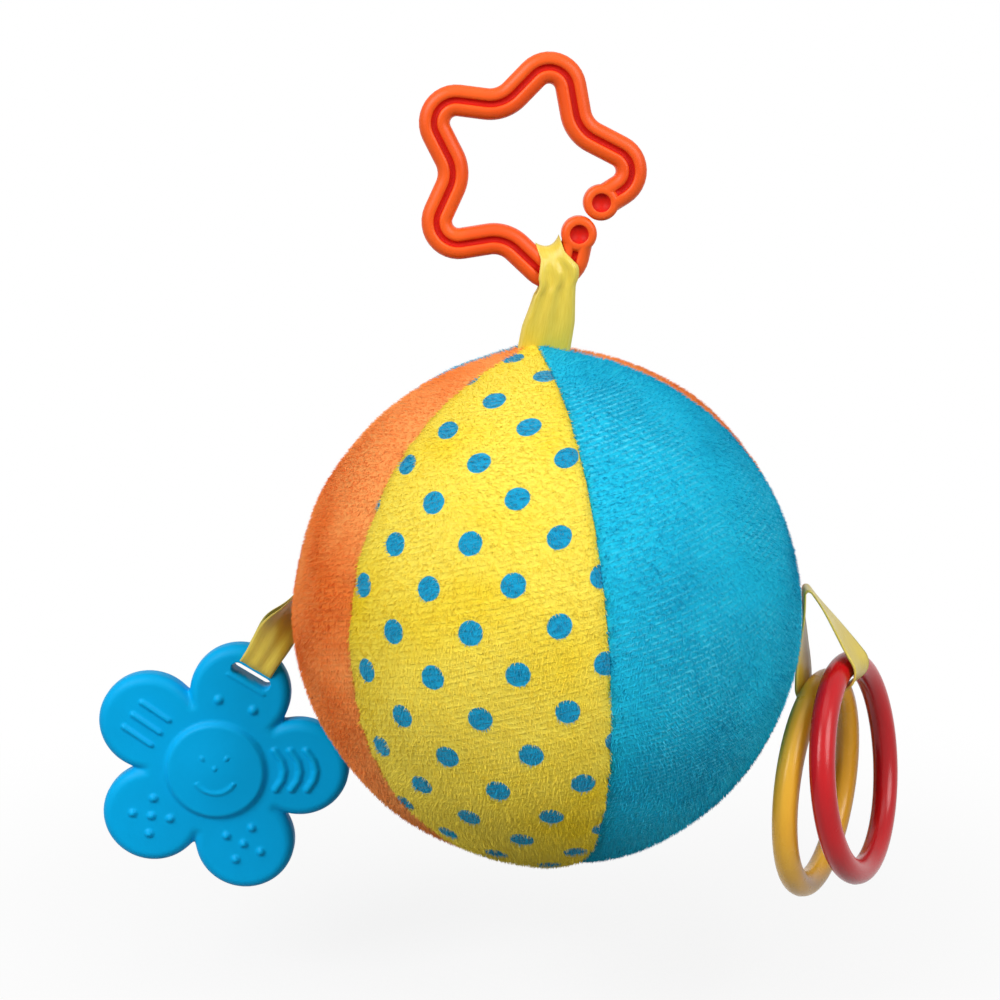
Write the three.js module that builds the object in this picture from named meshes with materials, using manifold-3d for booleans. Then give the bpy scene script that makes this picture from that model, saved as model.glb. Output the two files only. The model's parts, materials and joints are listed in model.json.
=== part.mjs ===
// Plush teether ball: six sewn plush panels over fibre fill with a rattle inside.
// It hangs by a ribbon from a star link, and carries a flower teether and two rings.
// Millimetres, +Z up, origin where the star link hangs on its hook.
import * as THREE from 'three';
import { mergeVertices } from 'three/addons/utils/BufferGeometryUtils.js';
import Module from 'manifold-3d';

const wasm = await Module();
wasm.setup();

// Clearances
const FIT_GAP = 0.3;
const SEAM_GAP = 0.4;
const CUT_OVERRUN = 1;
const MERGE_DISTANCE = 1e-4;

// Ball: bearings are measured from the front (-Y) towards the right (+X)
const BALL_RADIUS = 60;
const PANEL_THICKNESS = 1.8;
const SEAM_VALLEY = 2.2;
const SEAM_ALLOWANCE = 4;
const POLE_OPENING = 1.4;
const BALL_LEAN = 3;
const FRONT_PANEL_BEARING = -18.7;
const PANEL_SPANS = { yellow: 60, blue: 67.5, orange: 52.5 };
const PANEL_ROUNDS = 2;
const PANEL_ROWS = 18;
const PANEL_COLUMNS = 8;

// Rattle in the middle of the fill
const CAPSULE_RADIUS = 15;
const CAPSULE_WALL = 1.6;
const CAPSULE_LIP_HEIGHT = 2;
const CAPSULE_LIP_WALL = 0.6;
const BEAD_RADIUS = 2.5;
const BEAD_CIRCLE_RADIUS = 4;
const BEAD_COUNT = 3;

// Star link
const STAR_TIP_CORNER = 29;
const STAR_VALLEY_CORNER = 15.1;
const STAR_TIP_ROUNDING = 4.9;
const STAR_VALLEY_ROUNDING = 7.6;
const STAR_TURN = 17;
const STAR_BAR_WIDTH = 6.9;
const STAR_THICKNESS = 6.4;
const STAR_EDGE_ROUNDING = 1.8;
const STAR_GROOVE_WIDTH = 1.3;
const STAR_GROOVE_DEPTH = 0.8;
const STAR_END_RADIUS = 4;
const STAR_END_REACH = 18.5;
const STAR_MOUTH_GAP = 0.5;
const STAR_RECESS_RADIUS = 2.1;
const STAR_RECESS_DEPTH = 1;

// Ribbons: satin folded double, so a strand is two layers thick
const RIBBON_WIDTH = 12;
const RIBBON_THICKNESS = 0.7;
const RIBBON_FOLD_RADIUS = 0.5;
const TOP_RIBBON_DROP = 17.2;
const TOP_RIBBON_GATHER = 5.2;
const LEFT_RIBBON_REACH = 18;
const LEFT_RIBBON_GATHER = 6.8;
const LEFT_RIBBON_BEARING = -102;
const LEFT_RIBBON_HEIGHT = -1.4;
const RIGHT_RIBBON_REACH = 16.5;
const RIGHT_RIBBON_GATHER = 10;
const RIGHT_RIBBON_BEARING = 84;
const RIGHT_RIBBON_HEIGHT = 1.3;
const RIGHT_RIBBON_SPREAD = 19;

// Flower teether
const PETAL_COUNT = 5;
const PETAL_RADIUS = 12.3;
const PETAL_CIRCLE_RADIUS = 20.2;
const PETAL_TURN = 18;
const FLOWER_THICKNESS = 7;
const FLOWER_BEVEL = 2;
const FLOWER_CENTRE_RADIUS = 12.6;
const FLOWER_CENTRE_RISE = 1.3;
const FLOWER_BAR_WIDTH = 5.1;
const SLOT_TURN = 32;
const SLOT_SLACK = 0.4;
const BUMP_RADIUS = 1.5;
const BUMP_SPACING = 5.2;
const RIDGE_LENGTH = 9;
const RIDGE_SPACING = 4.6;

// Teething rings
const RING_RADIUS = 24;
const RING_TUBE_RADIUS = 3;
const RING_BEARING = 62.8;
const RING_STAGGER = 1.5;
const RING_GAP = 1.2;
const RED_RING_LEAN = 9;

const rad = THREE.MathUtils.degToRad;
const UP = new THREE.Vector3(0, 0, 1);
const BACK = new THREE.Vector3(0, 1, 0);

// Horizontal unit vector at a bearing, and a point at a bearing and a height angle
function towards(bearing) {
  return new THREE.Vector3(Math.sin(rad(bearing)), -Math.cos(rad(bearing)), 0);
}

function onBall(bearing, height, radius) {
  const flat = towards(bearing).multiplyScalar(radius * Math.cos(rad(height)));
  return flat.addScaledVector(UP, radius * Math.sin(rad(height)));
}

// Point of the flat XZ plane at a clock angle from straight up
function clockPoint(angle, radius) {
  return new THREE.Vector3(radius * Math.sin(rad(angle)), 0, radius * Math.cos(rad(angle)));
}

// Closed solid between two grids of points: rows run along it, columns across it
function shellGeometry(outer, inner, closed) {
  const rows = outer.length;
  const columns = outer[0].length;
  const at = (side, i, j) => side * rows * columns + (i % rows) * columns + j;
  const indices = [];
  const quad = (a, b, c, d) => indices.push(a, b, c, a, c, d);
  const spans = closed ? rows : rows - 1;
  const edge = columns - 1;
  for (let i = 0; i < spans; i++) {
    for (let j = 0; j < edge; j++) {
      quad(at(0, i, j), at(0, i + 1, j), at(0, i + 1, j + 1), at(0, i, j + 1));
      quad(at(1, i, j), at(1, i, j + 1), at(1, i + 1, j + 1), at(1, i + 1, j));
    }
    quad(at(0, i, 0), at(1, i, 0), at(1, i + 1, 0), at(0, i + 1, 0));
    quad(at(0, i, edge), at(0, i + 1, edge), at(1, i + 1, edge), at(1, i, edge));
  }
  for (let j = 0; j < edge && !closed; j++) {
    quad(at(0, 0, j), at(0, 0, j + 1), at(1, 0, j + 1), at(1, 0, j));
    quad(at(0, spans, j), at(1, spans, j), at(1, spans, j + 1), at(0, spans, j + 1));
  }
  const geometry = new THREE.BufferGeometry();
  geometry.setFromPoints([...outer.flat(), ...inner.flat()]);
  geometry.setIndex(indices);
  return geometry;
}

// Geometry with its shared corners merged and its empty triangles left out
function closedGeometry(geometry) {
  const bare = geometry.clone();
  bare.deleteAttribute('normal');
  bare.deleteAttribute('uv');
  const merged = mergeVertices(bare, MERGE_DISTANCE);
  const corners = merged.index.array;
  const kept = [];
  for (let i = 0; i < corners.length; i += 3) {
    const [a, b, c] = corners.slice(i, i + 3);
    if (a !== b && b !== c && c !== a) kept.push(a, b, c);
  }
  merged.setIndex(kept);
  return merged;
}

function toSolid(geometry) {
  const merged = closedGeometry(geometry);
  return new wasm.Manifold(new wasm.Mesh({
    numProp: 3,
    vertProperties: new Float32Array(merged.attributes.position.array),
    triVerts: new Uint32Array(merged.index.array),
  }));
}

function toGeometry(solid) {
  const mesh = solid.getMesh();
  const geometry = new THREE.BufferGeometry();
  geometry.setAttribute('position', new THREE.BufferAttribute(mesh.vertProperties, 3));
  geometry.setIndex(new THREE.BufferAttribute(mesh.triVerts, 1));
  return geometry;
}

function piece(name, geometry, look) {
  const material = new THREE.MeshStandardMaterial(look);
  const mesh = new THREE.Mesh(geometry, material);
  mesh.name = name;
  return mesh;
}

const LOOKS = {
  orange: { color: 0xf0803c, roughness: 0.95, metalness: 0 },
  yellow: { color: 0xf2d63a, roughness: 0.95, metalness: 0 },
  blue: { color: 0x0a9cc4, roughness: 0.95, metalness: 0 },
  satin: { color: 0xd9c046, roughness: 0.4, metalness: 0 },
  starOrange: { color: 0xf56a20, roughness: 0.3, metalness: 0 },
  flowerBlue: { color: 0x1094d8, roughness: 0.4, metalness: 0 },
  ringRed: { color: 0xd41c2c, roughness: 0.25, metalness: 0 },
  ringYellow: { color: 0xe8a832, roughness: 0.25, metalness: 0 },
  fibre: { color: 0xf4f4f0, roughness: 1, metalness: 0 },
  capsule: { color: 0xe8e8e4, roughness: 0.4, metalness: 0 },
  bead: { color: 0xc8ccd0, roughness: 0.3, metalness: 0 },
};

// Ball panels and what they hold

function ballPoint(polar, bearing, radius) {
  const across = radius * Math.sin(polar);
  return new THREE.Vector3(
    across * Math.sin(bearing), -across * Math.cos(bearing), radius * Math.cos(polar));
}

// Radius of the sewn seams, which sink most at the ball's waist
function seamRadius(polar) {
  return BALL_RADIUS - SEAM_VALLEY * Math.sin(polar);
}

// One plush panel, crowned between its seams, with its edges turned in as seam allowances
function panelGeometry(span) {
  const crownPower = 3;
  const mostFold = 0.4;
  const firstPolar = Math.asin(POLE_OPENING / BALL_RADIUS);
  const outer = [];
  const inner = [];
  for (let i = 0; i <= PANEL_ROWS; i++) {
    const polar = THREE.MathUtils.lerp(firstPolar, Math.PI - firstPolar, i / PANEL_ROWS);
    const girth = BALL_RADIUS * Math.sin(polar);
    const seam = seamRadius(polar);
    const edge = rad(span) / 2 - SEAM_GAP / 2 / girth;
    const fold = Math.min(PANEL_THICKNESS / girth, edge * mostFold);
    const flange = seam - SEAM_ALLOWANCE;
    const outerRow = [ballPoint(polar, -edge, flange)];
    const innerRow = [ballPoint(polar, -edge + fold, flange)];
    for (let j = 0; j <= PANEL_COLUMNS; j++) {
      const u = 2 * j / PANEL_COLUMNS - 1;
      const crown = (BALL_RADIUS - seam) * (1 - Math.abs(u) ** crownPower);
      outerRow.push(ballPoint(polar, u * edge, seam + crown));
      innerRow.push(ballPoint(polar, u * (edge - fold), seam + crown - PANEL_THICKNESS));
    }
    outerRow.push(ballPoint(polar, edge, flange));
    innerRow.push(ballPoint(polar, edge - fold, flange));
    outer.push(outerRow);
    inner.push(innerRow);
  }
  return shellGeometry(outer, inner, false);
}

// Points of a quarter circle about the middle, from one polar angle to another
function arcPoints(radiusAt, from, to, steps) {
  const points = [];
  for (let i = 0; i <= steps; i++) {
    const polar = THREE.MathUtils.lerp(from, to, i / steps);
    const radius = radiusAt(polar);
    points.push(new THREE.Vector2(radius * Math.sin(polar), radius * Math.cos(polar)));
  }
  return points;
}

// Revolved about the vertical axis: the profile runs up the outside and down the inside
function revolved(profile, segments) {
  const axisFree = profile.map((p) => new THREE.Vector2(Math.max(p.x, 0), p.y));
  axisFree[0].x = 0;
  axisFree[axisFree.length - 1].x = 0;
  return closedGeometry(new THREE.LatheGeometry(axisFree, segments).rotateX(Math.PI / 2));
}

// Half of the fibre fill, with a round hollow for the rattle; the lower half is turned over
function fillHalfGeometry() {
  const steps = 6;
  const segments = 20;
  const lowest = FIT_GAP / 2;
  const hollow = CAPSULE_RADIUS + FIT_GAP;
  const outside = (polar) => seamRadius(polar) - SEAM_ALLOWANCE - FIT_GAP;
  const outerEnd = Math.acos(lowest / outside(Math.PI / 2));
  const innerEnd = Math.acos(lowest / hollow);
  return revolved([
    ...arcPoints(() => hollow, 0, innerEnd, steps),
    ...arcPoints(outside, outerEnd, 0, steps),
  ], segments);
}

const capsuleInside = CAPSULE_RADIUS - CAPSULE_WALL;
const CAPSULE_SEGMENTS = 18;
const CAPSULE_STEPS = 5;

// Lower half of the rattle, with a thin lip that the upper half snaps over
function capsuleBaseGeometry() {
  const lip = capsuleInside + CAPSULE_LIP_WALL;
  return revolved([
    ...arcPoints(() => CAPSULE_RADIUS, Math.PI, Math.PI / 2, CAPSULE_STEPS),
    new THREE.Vector2(lip, 0),
    new THREE.Vector2(lip, CAPSULE_LIP_HEIGHT),
    new THREE.Vector2(capsuleInside, CAPSULE_LIP_HEIGHT),
    ...arcPoints(() => capsuleInside, Math.PI / 2, Math.PI, CAPSULE_STEPS),
  ], CAPSULE_SEGMENTS);
}

function capsuleLidGeometry() {
  const rim = FIT_GAP;
  const step = CAPSULE_LIP_HEIGHT + FIT_GAP;
  const socket = capsuleInside + CAPSULE_LIP_WALL + FIT_GAP;
  const outerEnd = Math.acos(rim / CAPSULE_RADIUS);
  const innerEnd = Math.acos(step / capsuleInside);
  return revolved([
    ...arcPoints(() => capsuleInside, 0, innerEnd, CAPSULE_STEPS),
    new THREE.Vector2(socket, step),
    new THREE.Vector2(socket, rim),
    ...arcPoints(() => CAPSULE_RADIUS, outerEnd, 0, CAPSULE_STEPS),
  ], CAPSULE_SEGMENTS);
}

function smallSphere(radius) {
  const segments = 8;
  const rows = 6;
  return new THREE.SphereGeometry(radius, segments, rows);
}

// Beads lie on the capsule's floor, evenly round its middle
function beadPosition(index) {
  const reach = capsuleInside - BEAD_RADIUS - FIT_GAP;
  const place = towards(index * 360 / BEAD_COUNT).multiplyScalar(BEAD_CIRCLE_RADIUS);
  return place.setZ(-Math.sqrt(reach ** 2 - BEAD_CIRCLE_RADIUS ** 2));
}

function makeBall() {
  const ball = new THREE.Group();
  const cover = new THREE.Group();
  cover.rotation.y = -rad(BALL_LEAN);
  const colours = Object.keys(PANEL_SPANS);
  let seam = FRONT_PANEL_BEARING - PANEL_SPANS[colours[0]] / 2;
  for (let k = 0; k < colours.length * PANEL_ROUNDS; k++) {
    const colour = colours[k % colours.length];
    const side = k < colours.length ? 'front' : 'back';
    const span = PANEL_SPANS[colour];
    const panel = piece(`${colour}_panel_${side}`, panelGeometry(span), LOOKS[colour]);
    panel.rotation.z = rad(seam + span / 2);
    seam += span;
    cover.add(panel);
  }
  const upperFill = piece('upper_fill', fillHalfGeometry(), LOOKS.fibre);
  const lowerFill = piece('lower_fill', fillHalfGeometry(), LOOKS.fibre);
  lowerFill.rotation.x = Math.PI;
  ball.add(cover, upperFill, lowerFill);
  ball.add(piece('rattle_capsule_base', capsuleBaseGeometry(), LOOKS.capsule));
  ball.add(piece('rattle_capsule_lid', capsuleLidGeometry(), LOOKS.capsule));
  for (let k = 0; k < BEAD_COUNT; k++) {
    const round = closedGeometry(smallSphere(BEAD_RADIUS));
    const bead = piece(`rattle_bead_${k + 1}`, round, LOOKS.bead);
    bead.position.copy(beadPosition(k));
    ball.add(bead);
  }
  return ball;
}

// Star link

// Flat route with rounded corners, as a curve in the XZ plane at a depth along Y
class FlatRoute extends THREE.Curve {
  constructor(corners, roundings, depth) {
    super();
    this.depth = depth;
    this.path = new THREE.Path();
    this.path.moveTo(corners[0].x, corners[0].z);
    for (let k = 1; k < corners.length - 1; k++) {
      this.roundCorner(corners[k - 1], corners[k], corners[k + 1], roundings[k]);
    }
    this.path.lineTo(corners.at(-1).x, corners.at(-1).z);
  }

  roundCorner(before, corner, after, radius) {
    const back = before.clone().sub(corner).normalize();
    const ahead = after.clone().sub(corner).normalize();
    const half = back.angleTo(ahead) / 2;
    const centre = back.clone().add(ahead).setLength(radius / Math.sin(half)).add(corner);
    const touch = (way) => corner.clone().addScaledVector(way, radius / Math.tan(half));
    const angleAt = (way) => Math.atan2(touch(way).z - centre.z, touch(way).x - centre.x);
    this.path.lineTo(touch(back).x, touch(back).z);
    const clockwise = back.x * ahead.z - back.z * ahead.x > 0;
    this.path.absarc(centre.x, centre.z, radius, angleAt(back), angleAt(ahead), clockwise);
  }

  getPoint(t, target = new THREE.Vector3()) {
    const flat = this.path.getPoint(t);
    return target.set(flat.x, this.depth, flat.y);
  }
}

const STAR_POINTS = 5;
const starPitch = 360 / STAR_POINTS;
const mouthTurn = STAR_TURN + starPitch * 1.5;
const ribbonTipTurn = STAR_TURN + starPitch * 2;

// Half of the angle between the two bars that meet at a tip, and where their middle line peaks
const halfPitch = rad(starPitch / 2);
const tipHalfAngle = Math.atan2(
  STAR_VALLEY_CORNER * Math.sin(halfPitch),
  STAR_TIP_CORNER - STAR_VALLEY_CORNER * Math.cos(halfPitch));
const tipPeak = STAR_TIP_CORNER - STAR_TIP_ROUNDING * (1 / Math.sin(tipHalfAngle) - 1);

// The two snap ends lie either side of the mouth, at its valley
const mouthHalfTurn = THREE.MathUtils.radToDeg(
  Math.asin((STAR_END_RADIUS + STAR_MOUTH_GAP / 2) / STAR_END_REACH));
const starEnds = [-1, 1].map(
  (side) => clockPoint(mouthTurn + side * mouthHalfTurn, STAR_END_REACH));

function starRoute(depth) {
  const corners = [starEnds[0]];
  const roundings = [0];
  for (let k = 0; k < 2 * STAR_POINTS - 1; k++) {
    const isTip = k % 2 === 0;
    const turn = mouthTurn - starPitch / 2 * (k + 1);
    corners.push(clockPoint(turn, isTip ? STAR_TIP_CORNER : STAR_VALLEY_CORNER));
    roundings.push(isTip ? STAR_TIP_ROUNDING : STAR_VALLEY_ROUNDING);
  }
  corners.push(starEnds[1]);
  return new FlatRoute(corners, roundings, depth);
}

// Rectangle with rounded corners: depth across the bar first, then its width
function barSection(depth, width, rounding) {
  const x = depth / 2 - rounding;
  const y = width / 2 - rounding;
  const shape = new THREE.Shape();
  shape.absarc(x, y, rounding, 0, Math.PI / 2);
  shape.absarc(-x, y, rounding, Math.PI / 2, Math.PI);
  shape.absarc(-x, -y, rounding, Math.PI, 1.5 * Math.PI);
  shape.absarc(x, -y, rounding, 1.5 * Math.PI, 2 * Math.PI);
  return shape;
}

function rectangle(depth, width) {
  const shape = new THREE.Shape();
  shape.moveTo(depth / 2, -width / 2);
  shape.lineTo(depth / 2, width / 2);
  shape.lineTo(-depth / 2, width / 2);
  shape.lineTo(-depth / 2, -width / 2);
  return shape;
}

function swept(shape, route) {
  const steps = 56;
  const curveSegments = 2;
  return toSolid(new THREE.ExtrudeGeometry(shape, { steps, curveSegments, extrudePath: route }));
}

// Round disc whose axis lies along Y
function disc(radius, height, centre) {
  const segments = 24;
  const geometry = new THREE.CylinderGeometry(radius, radius, height, segments);
  return toSolid(geometry.translate(centre.x, centre.y, centre.z));
}

// Moulded bar with a groove along both faces and a recess in each snap end
function starGeometry() {
  const bar = barSection(STAR_THICKNESS, STAR_BAR_WIDTH, STAR_EDGE_ROUNDING);
  const groove = rectangle(2 * STAR_GROOVE_DEPTH, STAR_GROOVE_WIDTH);
  let star = swept(bar, starRoute(0));
  for (const end of starEnds) {
    star = star.add(disc(STAR_END_RADIUS, STAR_THICKNESS, end));
  }
  for (const face of [-STAR_THICKNESS / 2, STAR_THICKNESS / 2]) {
    star = star.subtract(swept(groove, starRoute(face)));
    for (const end of starEnds) {
      const mouth = end.clone().setY(face);
      star = star.subtract(disc(STAR_RECESS_RADIUS, 2 * STAR_RECESS_DEPTH, mouth));
    }
  }
  return toGeometry(star);
}

// Ribbons: a closed belt of satin round its fold at the ball and round what it holds

// Points of a belt round circles of the YZ plane, taken counter-clockwise, each with its normal
function beltPoints(circles) {
  const arcSteps = 8;
  const strandSteps = 4;
  const normals = circles.map((from, k) => {
    const to = circles[(k + 1) % circles.length];
    const run = Math.hypot(to.y - from.y, to.z - from.z);
    const way = Math.atan2(to.z - from.z, to.y - from.y);
    return way - Math.acos((from.r - to.r) / run);
  });
  const points = [];
  const add = (circle, angle) => points.push({
    y: circle.y + circle.r * Math.cos(angle),
    z: circle.z + circle.r * Math.sin(angle),
    angle,
    width: circle.width,
  });
  circles.forEach((circle, k) => {
    const start = normals[(k + circles.length - 1) % circles.length];
    const turn = THREE.MathUtils.euclideanModulo(normals[k] - start, 2 * Math.PI);
    for (let i = 0; i <= arcSteps; i++) add(circle, start + turn * i / arcSteps);
    const from = points.at(-1);
    const next = circles[(k + 1) % circles.length];
    for (let i = 1; i < strandSteps; i++) {
      const t = i / strandSteps;
      const blend = (a, b) => THREE.MathUtils.lerp(a, b, t);
      points.push({
        y: blend(from.y, next.y + next.r * Math.cos(normals[k])),
        z: blend(from.z, next.z + next.r * Math.sin(normals[k])),
        angle: normals[k],
        width: blend(circle.width, next.width),
      });
    }
  });
  return points;
}

// Ribbon in its own frame: what it holds is at the origin, and its fold lies below.
// Towards its fold it turns by twist and shifts sideways. Its loop can lean in its own plane,
// and flare opens the loop to its edges.
function ribbonGeometry({ loops, gather, reach, flare = 0, twist = 0, shift = 0, lean = 0 }) {
  const columns = [-1, -0.5, 0, 0.5, 1];
  const grids = columns.map((side) => beltPoints([
    { y: 0, z: -reach, r: RIBBON_FOLD_RADIUS, width: RIBBON_WIDTH },
    ...loops.map((loop) => ({
      ...loop, r: loop.r + flare * Math.abs(side) * gather / 2, width: gather,
    })),
  ]));
  const lowestLoop = Math.min(...loops.map((loop) => loop.z - loop.r));
  const place = (point, side, offset) => {
    const z = point.z + offset * Math.sin(point.angle);
    const y = point.y + offset * Math.cos(point.angle);
    const part = THREE.MathUtils.clamp((lowestLoop - z) / (reach + lowestLoop), 0, 1);
    const spot = new THREE.Vector3(side * point.width / 2, y, z);
    spot.applyAxisAngle(UP, twist * part);
    spot.applyAxisAngle(BACK, lean * (1 - part));
    spot.x += shift * part;
    return spot;
  };
  const grid = (offset) => grids[0].map((_, i) => columns.map(
    (side, j) => place(grids[j][i], side, offset)));
  return shellGeometry(grid(RIBBON_THICKNESS), grid(0), true);
}

// Distance from the ball's middle to the axis of a ribbon's fold
const foldReach = BALL_RADIUS + FIT_GAP + RIBBON_THICKNESS + RIBBON_FOLD_RADIUS;

// Frame of a ribbon at the ball: x across it, z away from the ball; twist lays its fold on the ball
function ribbonFrame(fold, away, across) {
  const side = away.clone().cross(across);
  const foldAxis = away.clone().cross(fold).normalize();
  if (foldAxis.dot(across) < 0) foldAxis.negate();
  return {
    turn: new THREE.Matrix4().makeBasis(across, side, away),
    side,
    twist: Math.atan2(foldAxis.dot(side), foldAxis.dot(across)),
  };
}

// Flower teether

const petalPitch = 360 / PETAL_COUNT;
const slotPetal = clockPoint(PETAL_TURN, PETAL_CIRCLE_RADIUS);
const slotWay = clockPoint(SLOT_TURN, 1);
const slotAcross = clockPoint(SLOT_TURN + 90, 1);
const barMiddle = PETAL_RADIUS - FLOWER_BAR_WIDTH / 2;
const flowerLoop = Math.hypot(FLOWER_BAR_WIDTH / 2, FLOWER_THICKNESS / 2) + FIT_GAP;
const flowerPivot = slotPetal.clone().addScaledVector(slotWay, barMiddle);

// Disc with rounded edges, whose axis lies along Y
function pebble(radius, height, bevel, centre) {
  const bevelSteps = 2;
  const segments = 20;
  const half = height / 2;
  const profile = [new THREE.Vector2(0, -half)];
  for (const side of [-1, 1]) {
    for (let i = 0; i <= bevelSteps; i++) {
      const turn = Math.PI / 2 * (side < 0 ? i / bevelSteps - 1 : i / bevelSteps);
      profile.push(new THREE.Vector2(
        radius - bevel + bevel * Math.cos(turn),
        side * (half - bevel) + bevel * Math.sin(turn)));
    }
  }
  profile.push(new THREE.Vector2(0, half));
  const geometry = new THREE.LatheGeometry(profile, segments);
  return toSolid(geometry.translate(centre.x, centre.y, centre.z));
}

// Slot with round ends for the ribbon, through the petal beside its outer bar
function slotSolid() {
  const outerSide = PETAL_RADIUS - FLOWER_BAR_WIDTH;
  const innerSide = barMiddle - flowerLoop - RIBBON_THICKNESS - SLOT_SLACK;
  const half = (outerSide - innerSide) / 2;
  const straight = LEFT_RIBBON_GATHER / 2 + SLOT_SLACK;
  const shape = new THREE.Shape();
  shape.absarc(straight, 0, half, -Math.PI / 2, Math.PI / 2);
  shape.absarc(-straight, 0, half, Math.PI / 2, 1.5 * Math.PI);
  const depth = FLOWER_THICKNESS + 2 * CUT_OVERRUN;
  const curveSegments = 6;
  const geometry = new THREE.ExtrudeGeometry(shape, { depth, curveSegments, bevelEnabled: false });
  geometry.translate(0, 0, -depth / 2).rotateX(Math.PI / 2).rotateY(rad(SLOT_TURN));
  const middle = slotPetal.clone().addScaledVector(slotWay, (outerSide + innerSide) / 2);
  return toSolid(geometry.translate(middle.x, middle.y, middle.z));
}

function bump(centre) {
  return toSolid(smallSphere(BUMP_RADIUS).translate(centre.x, centre.y, centre.z));
}

// Straight chewing ridge lying along a clock angle
function ridge(centre, turn) {
  const capRows = 2;
  const segments = 8;
  const straight = RIDGE_LENGTH - 2 * BUMP_RADIUS;
  const geometry = new THREE.CapsuleGeometry(BUMP_RADIUS, straight, capRows, segments);
  geometry.rotateX(Math.PI / 2).rotateY(rad(turn));
  return toSolid(geometry.translate(centre.x, centre.y, centre.z));
}

// Chewing relief of one petal, on both faces: bumps round a middle one, or three ridges
function petalRelief(turn, kind) {
  const out = clockPoint(turn, 1);
  const across = clockPoint(turn + 90, 1);
  const middle = out.clone().multiplyScalar(PETAL_CIRCLE_RADIUS);
  const solids = [];
  for (const face of [-FLOWER_THICKNESS / 2, FLOWER_THICKNESS / 2]) {
    const spot = (a, b) => middle.clone()
      .addScaledVector(across, a).addScaledVector(out, b).setY(face);
    if (kind === 'ridges') {
      for (const k of [-1, 0, 1]) solids.push(ridge(spot(k * RIDGE_SPACING, 0), turn));
    } else {
      solids.push(bump(spot(0, 0)));
      for (const [a, b] of [[-1, 0], [1, 0], [0, -1], [0, 1]]) {
        solids.push(bump(spot(a * BUMP_SPACING, b * BUMP_SPACING)));
      }
    }
  }
  return solids;
}

function flowerGeometry() {
  const middle = new THREE.Vector3();
  const hubBevel = FLOWER_CENTRE_RISE;
  const reliefs = [null, 'ridges', 'bumps', 'bumps', 'ridges'];
  let flower = pebble(PETAL_CIRCLE_RADIUS, FLOWER_THICKNESS, FLOWER_BEVEL, middle);
  for (let k = 0; k < PETAL_COUNT; k++) {
    const petal = clockPoint(PETAL_TURN + k * petalPitch, PETAL_CIRCLE_RADIUS);
    flower = flower.add(pebble(PETAL_RADIUS, FLOWER_THICKNESS, FLOWER_BEVEL, petal));
  }
  reliefs.forEach((kind, k) => {
    const solids = kind ? petalRelief(PETAL_TURN + k * petalPitch, kind) : [];
    for (const solid of solids) flower = flower.add(solid);
  });
  const hubHeight = FLOWER_THICKNESS + 2 * FLOWER_CENTRE_RISE;
  flower = flower.add(pebble(FLOWER_CENTRE_RADIUS, hubHeight, hubBevel, middle));
  return toGeometry(flower.subtract(slotSolid()));
}

// Assembly

function makeStar() {
  const star = piece('star_link', starGeometry(), LOOKS.starOrange);
  star.position.copy(clockPoint(STAR_TURN, tipPeak - STAR_BAR_WIDTH / 2).negate());
  return star;
}

// The top ribbon sits in the notch inside a tip, so its loop flares with the two bars
function makeTopRibbon(position, shift) {
  const edge = TOP_RIBBON_GATHER / 2;
  const notch = STAR_TIP_ROUNDING - STAR_BAR_WIDTH / 2;
  const flank = notch * Math.cos(tipHalfAngle);
  const rise = notch * (1 - Math.sin(tipHalfAngle)) + (edge - flank) / Math.tan(tipHalfAngle);
  const tight = Math.hypot(STAR_BAR_WIDTH / 2, STAR_THICKNESS / 2);
  const wide = Math.hypot(STAR_BAR_WIDTH / 2 + rise, STAR_THICKNESS / 2);
  const geometry = ribbonGeometry({
    loops: [{ y: 0, z: 0, r: tight + FIT_GAP }],
    gather: TOP_RIBBON_GATHER,
    reach: TOP_RIBBON_DROP,
    flare: (wide - tight) / edge,
    lean: rad(ribbonTipTurn - 180),
    shift,
  });
  const ribbon = piece('top_ribbon', geometry, LOOKS.satin);
  ribbon.position.copy(position);
  return ribbon;
}

function makeFlowerSide() {
  const side = new THREE.Group();
  const fold = onBall(LEFT_RIBBON_BEARING, LEFT_RIBBON_HEIGHT, foldReach);
  const away = slotWay.clone().negate();
  const pivot = fold.clone().addScaledVector(away, LEFT_RIBBON_REACH);
  const frame = ribbonFrame(fold, away, slotAcross);
  const ribbon = piece('left_ribbon', ribbonGeometry({
    loops: [{ y: 0, z: 0, r: flowerLoop }],
    gather: LEFT_RIBBON_GATHER,
    reach: LEFT_RIBBON_REACH,
    twist: frame.twist,
  }), LOOKS.satin);
  ribbon.quaternion.setFromRotationMatrix(frame.turn);
  ribbon.position.copy(pivot);
  const flower = piece('flower_teether', flowerGeometry(), LOOKS.flowerBlue);
  flower.position.copy(pivot).sub(flowerPivot);
  side.add(ribbon, flower);
  return side;
}

// Ring hanging from its top tube, leaning outwards at the bottom
function makeRing(name, look, top, out, along, lean) {
  const down = out.clone().multiplyScalar(Math.sin(rad(lean)));
  down.addScaledVector(UP, -Math.cos(rad(lean)));
  const tubeSegments = 10;
  const segments = 36;
  const round = new THREE.TorusGeometry(RING_RADIUS, RING_TUBE_RADIUS, tubeSegments, segments);
  const ring = piece(name, closedGeometry(round), look);
  const face = along.clone().cross(down);
  ring.quaternion.setFromRotationMatrix(new THREE.Matrix4().makeBasis(along, down, face));
  ring.position.copy(top).addScaledVector(down, RING_RADIUS);
  return ring;
}

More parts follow.
